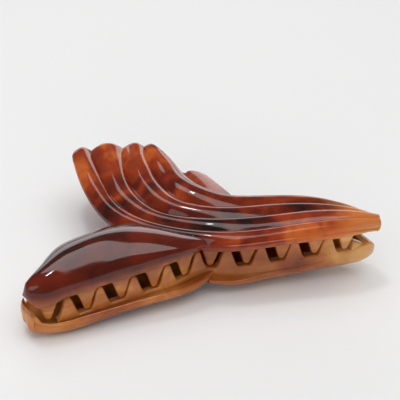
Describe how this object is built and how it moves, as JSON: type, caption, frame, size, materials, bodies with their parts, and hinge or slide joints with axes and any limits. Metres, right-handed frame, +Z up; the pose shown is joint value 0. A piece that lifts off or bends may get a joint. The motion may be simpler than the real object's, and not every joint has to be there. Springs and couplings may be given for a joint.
{
  "type": "hair clip",
  "caption": "Claw hair clip in tortoiseshell plastic: a smooth dome and long rolls on each jaw, meshing teeth, finger-ended handles and a sprung hinge pin.",
  "frame": {"origin": "middle of the bottom of the bounding box: the clip lies on z = 0 on its lower jaw", "axes": "+X along the clip towards the tip of the upper jaw's rolled wing, +Y from the toothed mouth back to the handles, +Z up"},
  "size_m": [0.0878, 0.0542, 0.0184],
  "materials": {
    "lower_jaw": "polished tortoiseshell acetate, amber with dark brown clouds",
    "upper_jaw": "polished tortoiseshell acetate, amber with dark brown clouds",
    "hinge_pin": "plain drawn wire",
    "spring": "plain spring wire"
  },
  "bodies": {
    "lower": {"lower_jaw": "lower_jaw", "hinge_pin": "hinge_pin", "spring": "spring"},
    "upper": {"upper_jaw": "upper_jaw"}
  },
  "joints": [
    {"name": "jaw_hinge", "type": "hinge", "parent": "lower", "child": "upper", "pos_m": [0.00002, 0.00154, 0.00883], "axis": [-0.9977, 0, -0.0682], "range_deg": [0, 28], "stiffness_Nm_per_rad": 0.12, "springref_deg": -28.65, "deforming": ["spring"]}
  ]
}
